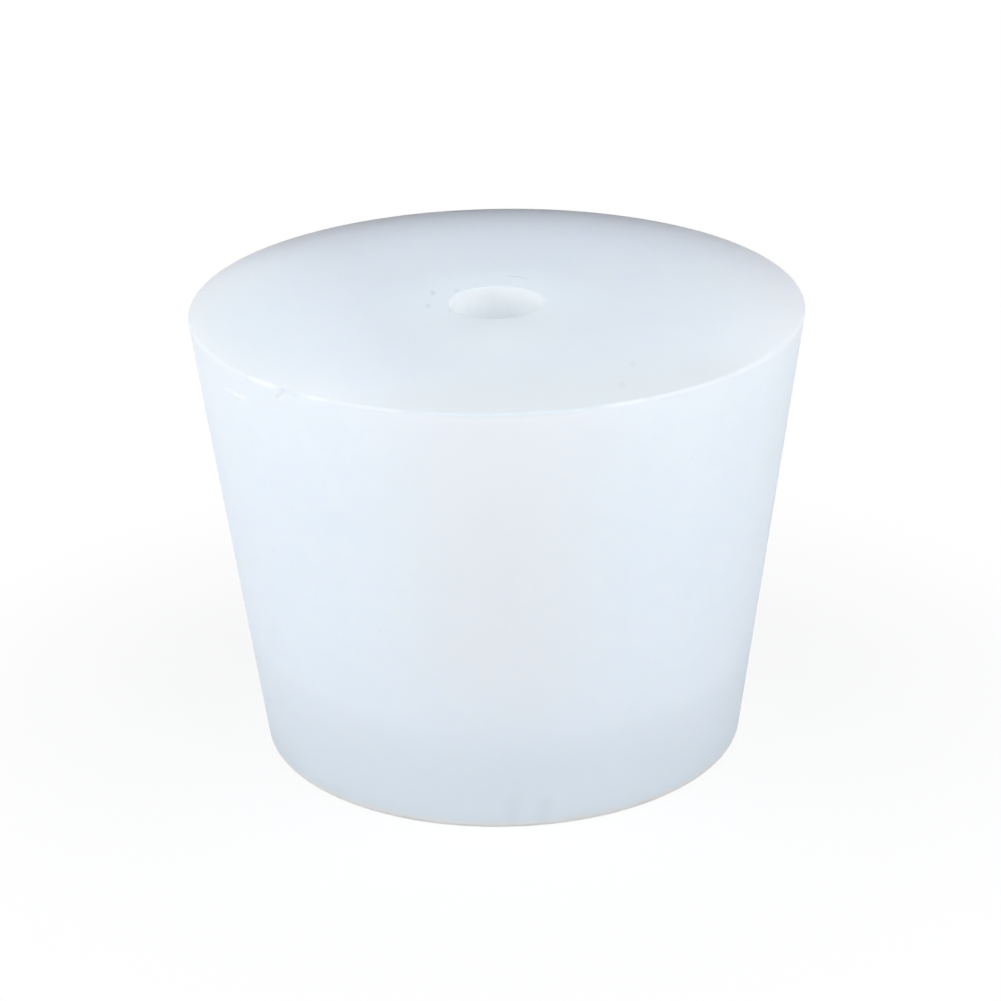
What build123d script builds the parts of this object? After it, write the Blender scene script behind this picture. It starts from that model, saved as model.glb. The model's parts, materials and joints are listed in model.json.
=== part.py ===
"""One-hole tapered stopper, moulded in one piece of translucent silicone rubber.

The stopper stands on its small end. The origin is the centre of that end's face,
and +Z runs up the bore's axis to the large end. Sizes are in millimetres.
"""

import os

from build123d import *

# Driving dimensions
large_end_diameter = 40.0
small_end_diameter = 32.0
height = 30.0
bore_diameter = 6.2

# Moulded edge radii
rim_radius = 0.2
foot_radius = 0.35
bore_mouth_radius = 0.1


with BuildPart() as stopper:
    # The tapered plug is its half section, turned about the vertical axis
    with BuildSketch(Plane.XZ):
        with BuildLine():
            Polyline(
                (0, 0),
                (small_end_diameter / 2, 0),
                (large_end_diameter / 2, height),
                (0, height),
                close=True,
            )
        make_face()
    revolve(axis=Axis.Z)

    # The bore runs right through, for a push-in tube
    with Locations((0, 0, height)):
        Hole(radius=bore_diameter / 2)

    # Soft moulded edges: both mouths of the bore, the foot and the rim
    rings = stopper.edges().filter_by(GeomType.CIRCLE).sort_by(SortBy.RADIUS)
    *bore_mouths, foot, rim = rings
    fillet(bore_mouths, radius=bore_mouth_radius)
    fillet(foot, radius=foot_radius)
    fillet(rim, radius=rim_radius)

stopper.part.label = "stopper"

os.makedirs("parts", exist_ok=True)
export_step(stopper.part, "parts/stopper.step")
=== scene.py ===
"""Looks of the one-hole tapered stopper: a body of translucent silicone rubber on a pale studio floor.

Lengths are in metres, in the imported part's frame: the stopper stands on its small end at the origin,
the bore runs up +Z, and the photograph's camera looks along +Y. Azimuths are counted from the front,
to the right.
"""

import json
import math
from typing import NamedTuple

import bpy
import numpy as np
from mathutils import Matrix, Vector, noise


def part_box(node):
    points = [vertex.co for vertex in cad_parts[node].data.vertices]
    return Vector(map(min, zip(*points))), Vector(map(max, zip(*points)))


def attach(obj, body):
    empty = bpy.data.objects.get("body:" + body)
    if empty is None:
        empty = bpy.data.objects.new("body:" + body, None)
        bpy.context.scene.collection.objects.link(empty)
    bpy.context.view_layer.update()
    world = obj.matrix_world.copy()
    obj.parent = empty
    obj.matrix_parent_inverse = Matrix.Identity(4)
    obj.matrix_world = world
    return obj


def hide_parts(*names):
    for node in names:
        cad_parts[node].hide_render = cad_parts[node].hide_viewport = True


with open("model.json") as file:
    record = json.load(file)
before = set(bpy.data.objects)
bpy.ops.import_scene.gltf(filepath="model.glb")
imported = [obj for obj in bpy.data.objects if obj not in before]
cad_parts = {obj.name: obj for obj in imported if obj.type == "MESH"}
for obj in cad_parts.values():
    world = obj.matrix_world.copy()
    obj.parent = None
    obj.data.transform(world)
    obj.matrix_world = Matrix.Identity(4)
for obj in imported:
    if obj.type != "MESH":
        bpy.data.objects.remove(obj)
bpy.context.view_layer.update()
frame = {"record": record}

MM = 0.001

# The stopper's section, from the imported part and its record
mounts = {mount["name"]: mount for mount in frame["record"]["mounts"]}
low_corner, high_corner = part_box("stopper")
height = high_corner.z - low_corner.z
bore_radius = mounts["bore"]["dims"]["r_mm"] * MM
seat_radius = mounts["taper_seat"]["dims"]["r_mm"] * MM
radius_gain_mm = 4
gaining_height_mm = 30
taper = radius_gain_mm / gaining_height_mm
large_end_radius = seat_radius + taper * height / 2
small_end_radius = seat_radius - taper * height / 2
rim_round = 0.2 * MM
foot_round = 0.35 * MM
mouth_round = 0.1 * MM

# Mesh spacing: plain, along each edge's round, beside the rounds, and across and along the marks
plain_step = 1.1 * MM
plain_turn = math.radians(1.6)
round_steps = 11
beside_round = 0.15 * MM
beside_step = 0.05 * MM
steps_in_half_width = 3
steps_along_mark = 20

# Slight waves of the moulded skin, apart from the faces whose normal points down
wave_depth = 0.005 * MM
wave_length = 6 * MM
facing_down = -0.5

# Camera, fitted to the outline in the photograph
image_side = 1001
middle_pixel = (500.36, 514.76)
camera_elevation = math.radians(23.07)
camera_roll = math.radians(1.05)
camera_distance = 218.5 * MM
camera_lens = 117.8
sensor_width = 36.0
clip_start = 0.01
clip_end = 20.0


def around(azimuth_deg, radius, z):
    azimuth = math.radians(azimuth_deg)
    return Vector((radius * math.sin(azimuth), -radius * math.cos(azimuth), z))


def on_top(azimuth_deg, radius_mm):
    """A point of the large end's face."""
    return around(azimuth_deg, radius_mm * MM, height)


def on_side(azimuth_deg, z_mm):
    """A point of the tapered side."""
    z = z_mm * MM
    return around(azimuth_deg, small_end_radius + taper * z, z)


def on_rim(azimuth_deg):
    """A point of the rim's round, half way between the large end and the side."""
    inset = rim_round * (1 - math.sqrt(0.5))
    return around(azimuth_deg, large_end_radius - inset, height - inset)


def in_bore(azimuth_deg, z_mm):
    """A point of the bore's wall."""
    return around(azimuth_deg, bore_radius, z_mm * MM)


class Mark(NamedTuple):
    """A dent along a line on the skin, a ridge where its depth is negative, or a stain where it is 0; it may
    carry grime and a painted highlight.
    """

    start: Vector
    end: Vector
    half_width_mm: float
    depth_mm: float
    grime_share: float = 0.0
    painted_highlight_share: float = 0.0


def pit(place, half_width_mm, depth_mm, grime_share):
    return Mark(place, place, half_width_mm, depth_mm, grime_share)


marks = [
    # A nick through the rim at the front left, and the rubber that it pushed up beside it, with a painted
    # highlight on that ridge
    Mark(on_rim(-40.9), on_side(-42.6, 29.3), 0.16, 0.1, grime_share=0.25),
    Mark(on_side(-40.3, 29.7), on_side(-41.6, 29.2), 0.16, -0.04, painted_highlight_share=0.5),
    # A crease of the mould below the rim, as a ridge with a painted highlight
    Mark(on_side(-59.0, 28.2), on_side(-55.4, 28.2), 0.26, -0.04, painted_highlight_share=0.7),
    Mark(on_side(-55.4, 28.2), on_side(-51.6, 28.32), 0.24, -0.04, painted_highlight_share=0.7),
    # Specks, faint scuffs and a hair's trace on the large end
    Mark(on_top(-113.6, 4.53), on_top(-119.1, 4.75), 0.24, 0.01, grime_share=0.32),
    Mark(on_top(-80.6, 4.50), on_top(-87.0, 4.45), 0.26, 0.01, grime_share=0.28),
    Mark(on_top(35.8, 14.25), on_top(34.2, 14.82), 0.26, 0.0, grime_share=0.12),
    Mark(on_top(26.3, 16.95), on_top(25.4, 17.49), 0.38, 0.0, grime_share=0.12),
    Mark(on_top(170.6, 5.27), on_top(163.0, 5.2), 0.14, 0.0, grime_share=0.3),
    Mark(on_top(163.0, 5.2), on_top(155.6, 4.96), 0.14, 0.0, grime_share=0.3),
    # A ragged stretch of the bore's mouth, on its left, with painted highlights on two ridges in its wall,
    # and a speck in the wall on its right
    Mark(on_top(-136.0, 3.62), on_top(-131.0, 3.58), 0.16, 0.02, grime_share=0.3),
    Mark(in_bore(-98.0, 29.65), in_bore(-116.0, 29.65), 0.24, -0.08, painted_highlight_share=1.0),
    Mark(in_bore(-100.0, 29.1), in_bore(-118.0, 29.0), 0.2, -0.08, painted_highlight_share=1.0),
    Mark(on_top(-65.0, 3.3), in_bore(-65.0, 29.6), 0.18, 0.06, grime_share=0.4),
    Mark(in_bore(129.6, 29.62), in_bore(129.6, 29.45), 0.1, 0.02, grime_share=0.3),
    # Two soft dents up from the foot, at the front
    Mark(on_side(0.9, 0.8), on_side(1.9, 2.3), 0.8, 0.03, grime_share=0.09),
    Mark(on_side(8.0, 0.7), on_side(9.0, 1.8), 0.75, 0.03, grime_share=0.1),
    # Small pits in the side
    pit(on_side(-51.5, 17.7), 0.16, 0.04, 0.15),
    pit(on_side(-19.9, 17.3), 0.18, 0.05, 0.2),
    pit(on_side(37.5, 25.0), 0.15, 0.04, 0.2),
    pit(on_side(38.5, 21.0), 0.15, 0.04, 0.15),
]


class RimHighlight(NamedTuple):
    """A stretch of the rim with a painted highlight along it."""

    first_deg: float
    last_deg: float
    half_width_mm: float
    painted_highlight_share: float


# Stretches of painted highlight along the rim
rim_highlights = [
    RimHighlight(-82, -49, 0.16, 0.5),
    RimHighlight(-51, -41.5, 0.24, 0.8),
    RimHighlight(-38, -28.5, 0.2, 0.5),
    RimHighlight(-31, -16, 0.16, 0.35),
    RimHighlight(18, 28, 0.2, 0.5),
    RimHighlight(25.5, 48, 0.16, 0.4),
    RimHighlight(45.5, 82, 0.22, 0.6),
]
rim_highlight_fade_deg = 2.5


class Zone(NamedTuple):
    """A stretch with its own, closer spacing."""

    low: float
    high: float
    step: float


def spaced(stop, plain, zones):
    """Places from 0 to stop, plainly spaced apart from the zones."""
    places = [0.0]
    while places[-1] < stop:
        here = places[-1]
        steps = [zone.step for zone in zones if zone.low <= here < zone.high]
        ahead = [zone.low - here for zone in zones if zone.low > here]
        step = min(steps or [plain])
        places.append(here + min([step] + [max(gap, step / steps_in_half_width) for gap in ahead]))
    places[-1] = stop
    return places


def zone_of(first, second, half_width, stretch):
    """The zone of a mark between two places on a line, where stretch turns a length into the line's units."""
    pad = half_width * stretch
    low, high = min(first, second) - pad, max(first, second) + pad
    finest = pad / steps_in_half_width
    return Zone(low, high, max(finest, (high - low) / steps_along_mark))


section_corners = [
    (Vector((bore_radius, height)), mouth_round),
    (Vector((large_end_radius, height)), rim_round),
    (Vector((small_end_radius, 0)), foot_round),
    (Vector((bore_radius, 0)), mouth_round),
]


def corner_arc(before, corner, after, radius):
    """The round at a corner of the section, as points with their outward normals."""
    to_before = (before - corner).normalized()
    to_after = (after - corner).normalized()
    half_angle = to_before.angle(to_after) / 2
    middle = corner + (to_before + to_after).normalized() * (radius / math.sin(half_angle))
    tangent = radius / math.tan(half_angle)
    first = (corner + to_before * tangent - middle).normalized()
    last = (corner + to_after * tangent - middle).normalized()
    turn = -first.angle_signed(last)
    arc = []
    for step in range(round_steps + 1):
        normal = first.copy()
        normal.rotate(Matrix.Rotation(turn * step / round_steps, 2))
        arc.append((middle + normal * radius, normal))
    return arc


def run_zones(start, run):
    """Where a straight run of the section needs close rings: beside its rounds and across its marks."""
    zones = [
        Zone(0.0, beside_round, beside_step),
        Zone(run.length - beside_round, run.length, beside_step),
    ]
    along = run.normalized()
    for mark in marks:
        half_width = mark.half_width_mm * MM
        ends = [Vector((end.xy.length, end.z)) - start for end in (mark.start, mark.end)]
        if min(abs(along.cross(end)) for end in ends) < half_width:
            places = [end.dot(along) for end in ends]
            zones.append(zone_of(places[0], places[1], half_width, 1.0))
    return zones


def section_rings():
    """The closed half section, from the bore's upper mouth outwards and round, as points with normals."""
    count = len(section_corners)
    points = [point for point, radius in section_corners]
    arcs = [
        corner_arc(points[i - 1], points[i], points[(i + 1) % count], section_corners[i][1])
        for i in range(count)
    ]
    rings = []
    for arc, next_arc in zip(arcs, arcs[1:] + arcs[:1]):
        rings.extend(arc)
        start, normal = arc[-1]
        run = next_arc[0][0] - start
        for place in spaced(run.length, plain_step, run_zones(start, run))[1:-1]:
            rings.append((start + run.normalized() * place, normal))
    return rings


def ring_turns():
    """The azimuths of a ring's points, in radians from the back, closer together across the marks."""
    zones = []
    for mark in marks:
        azimuths = [math.atan2(end.x, -end.y) + math.pi for end in (mark.start, mark.end)]
        radius = (mark.start.xy.length + mark.end.xy.length) / 2
        zones.append(zone_of(azimuths[0], azimuths[1], mark.half_width_mm * MM, 1 / radius))
    return np.array(spaced(2 * math.pi, plain_turn, zones)[:-1]) - math.pi


def turned(section, turns):
    """Points of the section, turned about the axis."""
    flat = np.array(section)
    across = flat[:, :1]
    upright = np.repeat(flat[:, 1:], len(turns), axis=1)
    return np.stack([across * np.sin(turns), -across * np.cos(turns), upright], axis=-1).reshape(-1, 3)


def turned_faces(ring_count, turn_count):
    ring, turn = np.meshgrid(np.arange(ring_count), np.arange(turn_count), indexing="ij")
    next_ring = (ring + 1) % ring_count
    next_turn = (turn + 1) % turn_count
    corners = [
        ring * turn_count + turn,
        next_ring * turn_count + turn,
        next_ring * turn_count + next_turn,
        ring * turn_count + next_turn,
    ]
    return np.stack(corners, axis=-1).reshape(-1, len(corners))


def share_of_mark(mark, points):
    """How much of a mark's depth each point has: 1 on its line and 0 from its half width on."""
    start, line = np.array(mark.start), np.array(mark.end - mark.start)
    offset = points - start
    along = np.clip(offset @ line / max(line @ line, np.finfo(float).tiny), 0, 1)
    distance = np.linalg.norm(offset - along[:, None] * line, axis=1)
    return np.clip(1 - (distance / (mark.half_width_mm * MM)) ** 2, 0, 1) ** 2


def gap_from_rim(points):
    """Each point's distance from the middle of the rim's round."""
    rim = on_rim(0)
    return np.hypot(np.linalg.norm(points[:, :2], axis=1) - rim.xy.length, points[:, 2] - rim.z)


def share_along_rim_highlight(rim_stretch, points):
    """1 along a stretch of painted highlight, falling to 0 at its ends."""
    azimuths = np.degrees(np.arctan2(points[:, 0], -points[:, 1]))
    along = np.minimum(azimuths - rim_stretch.first_deg, rim_stretch.last_deg - azimuths) / rim_highlight_fade_deg
    return np.clip(along, 0, 1)


# The share of the light that is carried through the rubber: more along the rim and in the bore's wall
milk_share = 0.68
rim_milk_share = 0.95
rim_reach = 9 * MM
bore_milk_share = 0.9
bore_edge_power = 4

# How much of that share is taken away beside the bore, at the foot, in the streaks and on the rim's edge
bore_reach = 6 * MM
bore_shallow_share = 0.8
foot_reach = 6 * MM
foot_shallow_share = 0.6
painted_light_front_shallow_share = 0.8
warm_painted_shade_shallow_share = 0.1
dim_painted_shade_shallow_share = 0.75
painted_rim_shade_shallow_share = 0.6

# A band of painted shade above the foot, with a wavy upper edge
band_height = 7.2 * MM
band_wave = 1.0 * MM
band_wave_length = 14 * MM
band_edge = 1.6 * MM

# Broad streaks of painted shade and painted light, each with its own tint: painted shade down the front of
# the side in a warmer tone, painted light on the large end before the bore, painted shade along the front
# rim, and bluer painted light at the left rim
warm_painted_shade_streak = Mark(on_side(0, 13), on_side(0, 29), 10, 0)
painted_light_front_streak = Mark(on_top(0, 4), on_top(0, 7), 8, 0)
dim_painted_shade_streak = Mark(on_top(-6, 19), on_top(38, 19), 9, 0)
cool_painted_light_streak = Mark(on_top(-105, 20.5), on_top(-50, 20.5), 12, 0)

# Painted light from the bore's tint on the large end, painted shade on the front rim's edge, and a warmer,
# paler tint along the foot's lowest edge
painted_light_bore_halo_share = 0.55
painted_rim_shade_reach = 0.24 * MM
foot_edge_full = 0.2 * MM
foot_edge_fade = 0.5 * MM
foot_edge_share = 0.8


def fade(distance, reach):
    """1 at a distance of 0, falling smoothly to 0 at the reach."""
    share = np.clip(1 - distance / reach, 0, 1)
    return share * share * (3 - 2 * share)


def skin_waves(points, normals):
    """How far the skin's waves move each point outwards: never past the plain section."""
    waves = np.array([noise.noise(Vector(point) / wave_length) - 1 for point in points])
    waves[normals[:, 2] < facing_down] = 0
    return waves * wave_depth / 2


def painted_rim_light_and_shade(points):
    """How much painted highlight the rim's stretches give each point, and how much painted shade the front
    rim's edge gets between them.
    """
    rim_gap = gap_from_rim(points)
    pale = np.zeros(len(points))
    highlighted = np.zeros(len(points))
    for rim_stretch in rim_highlights:
        share = share_along_rim_highlight(rim_stretch, points) * rim_stretch.painted_highlight_share
        across = np.clip(1 - (rim_gap / (rim_stretch.half_width_mm * MM)) ** 2, 0, 1)
        highlighted = np.maximum(highlighted, share)
        pale = np.maximum(pale, share * across)
    facing_front = np.clip(-points[:, 1] / np.linalg.norm(points[:, :2], axis=1), 0, 1)
    return pale, fade(rim_gap, painted_rim_shade_reach) * (1 - highlighted) * facing_front


def skin_shares(points, normals, painted_rim_shade):
    """What varies over the skin, as a share at each point, by the names of the attributes."""
    radii = np.linalg.norm(points[:, :2], axis=1)
    facing_axis = np.clip(-np.sum(normals[:, :2] * points[:, :2], axis=1) / radii, 0, 1)
    in_wall = facing_axis**bore_edge_power
    upwards = np.clip(normals[:, 2], 0, 1)
    near_bore = fade(radii - bore_radius, bore_reach) * upwards
    near_foot = fade(points[:, 2], foot_reach)
    near_rim = fade(large_end_radius - radii, rim_reach) * upwards
    # Streaks of painted shade and painted light
    warm_painted_shade = share_of_mark(warm_painted_shade_streak, points)
    front = share_of_mark(painted_light_front_streak, points) * upwards
    dim_painted_shade = share_of_mark(dim_painted_shade_streak, points) * upwards
    cool_painted_light = share_of_mark(cool_painted_light_streak, points) * upwards

    milk = milk_share + (rim_milk_share - milk_share) * near_rim
    milk *= 1 - np.maximum.reduce([
        near_bore * bore_shallow_share,
        near_foot * foot_shallow_share,
        front * painted_light_front_shallow_share,
        warm_painted_shade * warm_painted_shade_shallow_share,
        dim_painted_shade * dim_painted_shade_shallow_share,
        painted_rim_shade * painted_rim_shade_shallow_share,
    ])
    milk += (bore_milk_share - milk) * in_wall

    swell = np.array([noise.noise(Vector(point) / band_wave_length) for point in points])
    band_top = band_height + band_wave * swell
    return {
        "milk": milk,
        "near": np.maximum(in_wall, cool_painted_light),
        # Painted shade down the front of the side, in a warmer tone
        "warm_painted_shade": warm_painted_shade,
        # Painted light, bluer, along the left rim
        "cool_painted_light": cool_painted_light,
        # Painted shade in the band above the foot
        "painted_shade_band": 1 - fade(band_top + band_edge / 2 - points[:, 2], band_edge),
        # Painted light in the bore's wall and round its mouth
        "bore": np.maximum(in_wall, near_bore * painted_light_bore_halo_share),
        # Painted light on the large end before the bore
        "front": front,
        # Painted shade along the front rim
        "dim_painted_shade": dim_painted_shade,
        # A warmer, paler tint along the foot's lowest edge
        "dust": fade(points[:, 2] - foot_edge_full, foot_edge_fade) * foot_edge_share,
    }


def make_body():
    """The stopper as a fine mesh, with its waves and marks pressed into the turned section."""
    rings = section_rings()
    turns = ring_turns()
    points = turned([point for point, normal in rings], turns)
    normals = turned([normal for point, normal in rings], turns)

    outwards = skin_waves(points, normals)
    grime = np.zeros(len(points))
    # Painted highlights along the rim, and painted shade on its front edge between them
    pale, painted_rim_shade = painted_rim_light_and_shade(points)
    for mark in marks:
        share = share_of_mark(mark, points)
        outwards -= share * mark.depth_mm * MM
        grime = np.maximum(grime, share * mark.grime_share)
        pale = np.maximum(pale, share * mark.painted_highlight_share)

    mesh = bpy.data.meshes.new("stopper_body")
    vertices = points + normals * outwards[:, None]
    mesh.from_pydata(vertices.tolist(), [], turned_faces(len(rings), len(turns)).tolist())
    shares = {"grime": grime, "pale": pale, "painted_rim_shade": painted_rim_shade, **skin_shares(points, normals, painted_rim_shade)}
    for name, values in shares.items():
        mesh.attributes.new(name, "FLOAT", "POINT").data.foreach_set("value", values)
    mesh.update()
    mesh.shade_smooth()
    body = bpy.data.objects.new("stopper_body", mesh)
    bpy.context.scene.collection.objects.link(body)
    print("stopper_body", len(rings), "rings", len(turns), "turns", 2 * len(mesh.polygons), "triangles")
    return body


class Nodes:
    """A node tree being filled, with short calls for the nodes used here."""

    def __init__(self, owner):
        owner.use_nodes = True
        self.tree = owner.node_tree
        self.tree.nodes.clear()

    def add(self, kind, **settings):
        node = self.tree.nodes.new("ShaderNode" + kind)
        for name, value in settings.items():
            setattr(node, name, value)
        return node

    def put(self, socket, value):
        """Sets a socket, or links it where the value is another node's output."""
        if isinstance(value, bpy.types.NodeSocket):
            self.tree.links.new(value, socket)
        else:
            socket.default_value = value

    def math(self, operation, first, second):
        node = self.add("Math", operation=operation)
        self.put(node.inputs[0], first)
        self.put(node.inputs[1], second)
        return node.outputs[0]

    def ramp(self, value, from_low, from_high, to_low, to_high):
        """The value carried from one range to another, and held at its ends."""
        node = self.add("MapRange", interpolation_type="SMOOTHSTEP")
        for name, setting in {
            "Value": value,
            "From Min": from_low,
            "From Max": from_high,
            "To Min": to_low,
            "To Max": to_high,
        }.items():
            self.put(node.inputs[name], setting)
        return node.outputs["Result"]

    def cloud(self, place, size, detail):
        """Soft noise with features of about the given size."""
        node = self.add("TexNoise")
        self.put(node.inputs["Vector"], place)
        self.put(node.inputs["Scale"], 1 / size)
        self.put(node.inputs["Detail"], detail)
        return node.outputs["Fac"]

    def blend(self, share, first, second):
        """A colour between two."""
        node = self.add("Mix", data_type="RGBA")
        self.put(node.inputs["Factor"], share)
        self.put(node.inputs[6], first)
        self.put(node.inputs[7], second)
        return node.outputs[2]

    def attribute(self, name):
        return self.add("Attribute", attribute_name=name).outputs["Fac"]

    def seen_directly(self):
        """1 for camera, glossy and transmission rays, and 0 for the rays that carry light."""
        path = self.add("LightPath")
        camera_or_glossy = self.math("MAXIMUM", path.outputs["Is Camera Ray"], path.outputs["Is Glossy Ray"])
        return self.math("MAXIMUM", camera_or_glossy, path.outputs["Is Transmission Ray"])


# Tints of the rubber, from place to place, many of them painted shade, painted light or painted highlights,
# and of what lies on it
pale_tint = (0.81, 0.875, 0.915, 1)
deep_tint = (0.79, 0.86, 0.91, 1)
# Painted shade down the front of the side, in a warmer tone
warm_painted_shade_tint = (0.815, 0.84, 0.85, 1)
# Painted light on the large end before the bore
painted_light_front_tint = (0.87, 0.915, 0.935, 1)
# Painted shade along the front rim
dim_painted_shade_tint = (0.82, 0.87, 0.88, 1)
# Darker painted shade on the rim's round at the front
painted_rim_shade_tint = (0.68, 0.74, 0.77, 1)
# Painted light, bluer, along the left rim
cool_painted_light_tint = (0.83, 0.895, 0.998, 1)
# Painted shade in the band above the foot
painted_shade_band_tint = (0.79, 0.85, 0.88, 1)
# Painted light in the bore's wall and round its mouth on the large end
painted_light_bore_tint = (0.90, 0.98, 1.0, 1)
# Painted highlights on stretches of the rim and on ridges
painted_highlight_tint = (0.95, 0.99, 1.0, 1)
# A warmer, paler tint along the foot's lowest edge
foot_edge_tint = (0.91, 0.87, 0.81, 1)
grime_tint = (0.50, 0.52, 0.52, 1)

# How far light is carried: the reach, and the shares of it in red, green and blue, in the body and near by
light_reach = 28 * MM
body_reach_shares = (1.15, 1.0, 0.8, 1)
near_reach_shares = (0.27, 0.27, 0.27, 1)
silicone_ior = 1.41

# Soft clouds, and a finer mottle that shifts them
cloud_size = 11 * MM
cloud_detail = 3.0
cloud_low_share = 0.35
cloud_high_share = 0.65
mottle_size = 1.6 * MM
mottle_detail = 2.0
mottle_low_share = 0.3
mottle_high_share = 0.7
mottle_swing_share = 0.25

# Flecks of dust, in some of the cells that divide the skin
fleck_cell = 2.6 * MM
fleck_reach_share = 0.07
fleck_kept_share = 0.25
fleck_strength_share = 0.22

# The satin skin: roughness from patch to patch, more of it on dirt, and a fine peel
gloss_patch_size = 7 * MM
gloss_patch_detail = 4.0
gloss_low_share = 0.3
gloss_high_share = 0.7
least_roughness = 0.52
most_roughness = 0.6
dirt_roughness = 0.3
peel_size = 0.35 * MM
peel_detail = 2.0
peel_depth = 0.004 * MM


def silicone():
    """Milky silicone rubber: cloudy tints with painted shade, painted light and painted highlights over them,
    a few specks of dust, deep scattering and a satin skin.
    """
    material = bpy.data.materials.new("milky_silicone")
    nodes = Nodes(material)
    place = nodes.add("TexCoord").outputs["Object"]

    clouds = nodes.cloud(place, cloud_size, cloud_detail)
    clouds = nodes.ramp(clouds, cloud_low_share, cloud_high_share, 0.0, 1.0)
    mottle = nodes.cloud(place, mottle_size, mottle_detail)
    mottle = nodes.ramp(mottle, mottle_low_share, mottle_high_share, -mottle_swing_share, mottle_swing_share)
    colour = nodes.blend(nodes.math("ADD", clouds, mottle), deep_tint, pale_tint)

    cells = nodes.add("TexVoronoi")
    nodes.put(cells.inputs["Vector"], place)
    nodes.put(cells.inputs["Scale"], 1 / fleck_cell)
    speck = nodes.ramp(cells.outputs["Distance"], 0.0, fleck_reach_share, fleck_strength_share, 0.0)
    chance = nodes.add("SeparateColor")
    nodes.put(chance.inputs["Color"], cells.outputs["Color"])
    kept = nodes.math("LESS_THAN", chance.outputs["Red"], fleck_kept_share)
    dirt = nodes.math("MAXIMUM", nodes.math("MULTIPLY", speck, kept), nodes.attribute("grime"))

    # Each tint lies over those before it; most are painted shade, painted light or painted highlights
    for name, tint in {
        "warm_painted_shade": warm_painted_shade_tint,
        "cool_painted_light": cool_painted_light_tint,
        "painted_shade_band": painted_shade_band_tint,
        "bore": painted_light_bore_tint,
        "front": painted_light_front_tint,
        "dim_painted_shade": dim_painted_shade_tint,
        "painted_rim_shade": painted_rim_shade_tint,
        "pale": painted_highlight_tint,
        "dust": foot_edge_tint,
    }.items():
        colour = nodes.blend(nodes.attribute(name), colour, tint)
    colour = nodes.blend(dirt, colour, grime_tint)

    satin = nodes.cloud(place, gloss_patch_size, gloss_patch_detail)
    satin = nodes.ramp(satin, gloss_low_share, gloss_high_share, least_roughness, most_roughness)
    roughness = nodes.math("ADD", satin, nodes.math("MULTIPLY", dirt, dirt_roughness))
    peel = nodes.add("Bump")
    nodes.put(peel.inputs["Strength"], 1.0)
    nodes.put(peel.inputs["Distance"], peel_depth)
    nodes.put(peel.inputs["Height"], nodes.cloud(place, peel_size, peel_detail))

    shader = nodes.add("BsdfPrincipled", subsurface_method="RANDOM_WALK")
    for name, value in {
        "Base Color": colour,
        "Roughness": roughness,
        "Normal": peel.outputs["Normal"],
        "IOR": silicone_ior,
        "Subsurface Weight": nodes.attribute("milk"),
        "Subsurface Radius": nodes.blend(nodes.attribute("near"), body_reach_shares, near_reach_shares),
        "Subsurface Scale": light_reach,
    }.items():
        nodes.put(shader.inputs[name], value)
    nodes.put(nodes.add("OutputMaterial").inputs["Surface"], shader.outputs["BSDF"])
    return material


body = make_body()
body.data.materials.append(silicone())
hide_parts("stopper")
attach(body, "root")

# The floor is lit like the object, and turns white away from it for the rays that see it
floor_half_side = 1.5
floor_colour = (0.8, 0.8, 0.8, 1)
white_starts = 18 * MM
white_whole = 50 * MM
near_white_share = 0.86


def make_floor():
    mesh = bpy.data.meshes.new("floor")
    low, high = -floor_half_side, floor_half_side
    mesh.from_pydata([(low, low, 0), (high, low, 0), (high, high, 0), (low, high, 0)], [], [(0, 1, 2, 3)])
    floor = bpy.data.objects.new("floor", mesh)
    bpy.context.scene.collection.objects.link(floor)
    material = bpy.data.materials.new("floor")
    nodes = Nodes(material)
    distance = nodes.add("VectorMath", operation="LENGTH")
    nodes.put(distance.inputs[0], nodes.add("NewGeometry").outputs["Position"])
    white_share = nodes.ramp(distance.outputs["Value"], white_starts, white_whole, near_white_share, 1.0)
    diffuse = nodes.add("BsdfDiffuse")
    nodes.put(diffuse.inputs["Color"], floor_colour)
    both = nodes.add("MixShader")
    nodes.put(both.inputs["Fac"], nodes.math("MULTIPLY", nodes.seen_directly(), white_share))
    nodes.put(both.inputs[1], diffuse.outputs[0])
    nodes.put(both.inputs[2], nodes.add("Emission").outputs[0])
    nodes.put(nodes.add("OutputMaterial").inputs["Surface"], both.outputs[0])
    floor.data.materials.append(material)


make_floor()

# The backdrop is white at the horizon and dims overhead, as above a studio table
white_below = math.sin(math.radians(9))
dim_above = math.sin(math.radians(14))
dim_share = 0.02
backdrop_colour = (1, 1, 1, 1)
ambient = 0.0


def make_world():
    world = bpy.data.worlds.new("studio")
    bpy.context.scene.world = world
    nodes = Nodes(world)
    direction = nodes.add("SeparateXYZ")
    nodes.put(direction.inputs[0], nodes.add("TexCoord").outputs["Generated"])
    backdrop = nodes.ramp(direction.outputs["Z"], white_below, dim_above, 1.0, dim_share)
    background = nodes.add("Background")
    nodes.put(background.inputs["Color"], backdrop_colour)
    nodes.put(background.inputs["Strength"], nodes.ramp(nodes.seen_directly(), 0.0, 1.0, ambient, backdrop))
    nodes.put(nodes.add("OutputWorld").inputs["Surface"], background.outputs[0])


make_world()

# The place that the lamps and the camera are aimed at, and the soft lamps around it
aim = Vector((0, 0, height / 2))
lamp_distance = 0.5
lamp_side = 0.5
lamp_colour = (0.97, 1.0, 1.05)


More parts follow.
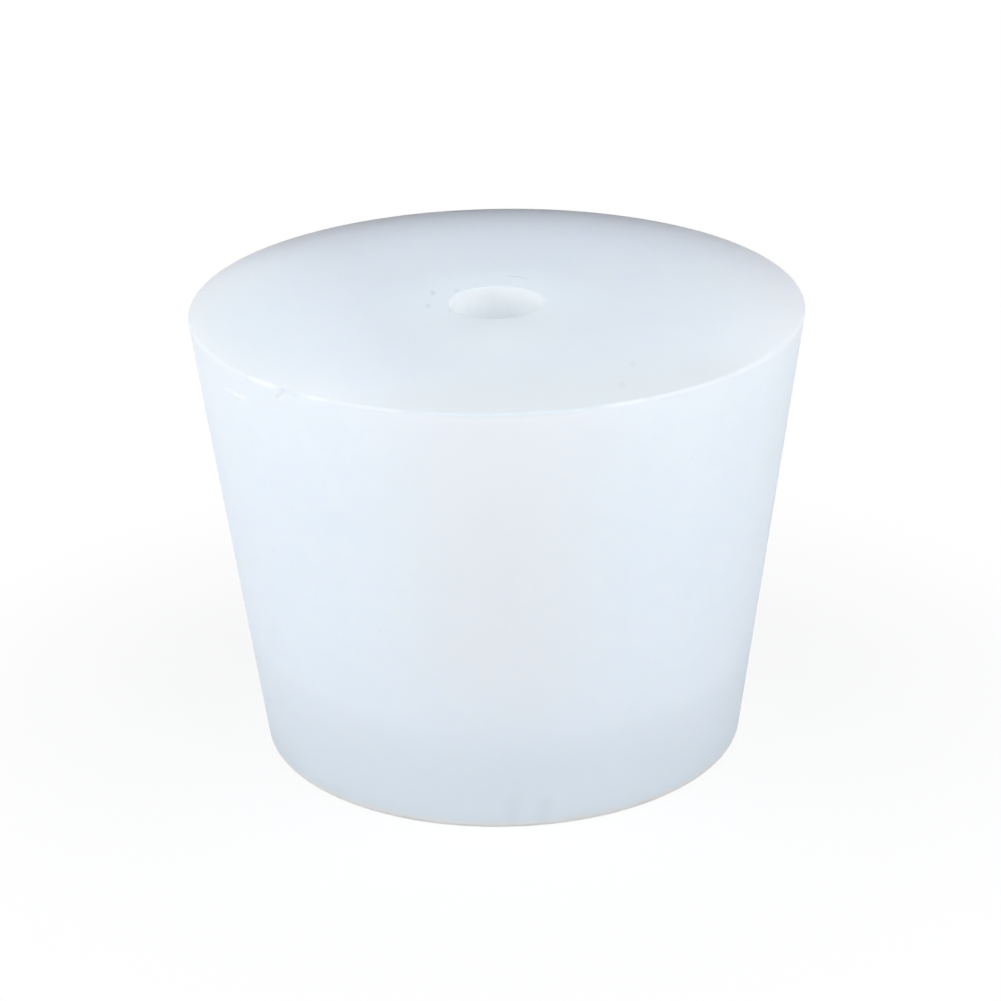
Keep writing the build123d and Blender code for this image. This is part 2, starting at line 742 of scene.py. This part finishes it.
class Lamp(NamedTuple):
    """A square soft light; its level is the share of white that it alone gives to a white card at the aim."""

    name: str
    azimuth_deg: float
    elevation_deg: float
    level_share: float


lamps = [
    Lamp("left", -66, 36, 0.72),
    Lamp("right", 61, 40, 0.72),
    Lamp("front", 5, 42, 0.1),
]


def lamp_view_share():
    """The share of a card's view that a lamp fills, seen square on from the lamp's distance."""
    spread = lamp_side / 2 / math.hypot(lamp_side / 2, lamp_distance)
    return 4 / math.pi * spread * math.atan(spread)


def make_lamp(lamp):
    elevation = math.radians(lamp.elevation_deg)
    reach = lamp_distance * math.cos(elevation)
    place = around(lamp.azimuth_deg, reach, aim.z + lamp_distance * math.sin(elevation))
    light = bpy.data.lights.new(lamp.name, "AREA")
    light.shape = "SQUARE"
    light.size = lamp_side
    light.color = lamp_colour
    light.energy = lamp.level_share * math.pi * lamp_side**2 / lamp_view_share()
    holder = bpy.data.objects.new(lamp.name, light)
    holder.location = place
    holder.rotation_euler = (aim - place).to_track_quat("-Z", "Y").to_euler()
    # The gloss doesn't mirror the lamps, or the large end would go white when seen from behind
    holder.visible_glossy = False
    bpy.context.scene.collection.objects.link(holder)


for lamp in lamps:
    make_lamp(lamp)


def make_camera():
    camera = bpy.data.cameras.new("camera")
    camera.lens = camera_lens
    camera.sensor_width = sensor_width
    camera.shift_x = (image_side / 2 - middle_pixel[0]) / image_side
    camera.shift_y = (middle_pixel[1] - image_side / 2) / image_side
    camera.clip_start = clip_start
    camera.clip_end = clip_end
    back = Vector((0, -math.cos(camera_elevation), math.sin(camera_elevation)))
    right = Vector((1, 0, 0))
    up = back.cross(right)
    rolled_right = right * math.cos(camera_roll) - up * math.sin(camera_roll)
    rolled_up = right * math.sin(camera_roll) + up * math.cos(camera_roll)
    axes = Matrix((rolled_right, rolled_up, back)).transposed()
    holder = bpy.data.objects.new("camera", camera)
    holder.matrix_world = Matrix.Translation(aim + back * camera_distance) @ axes.to_4x4()
    bpy.context.scene.collection.objects.link(holder)
    bpy.context.scene.camera = holder


make_camera()
bpy.context.scene.view_settings.view_transform = "Standard"
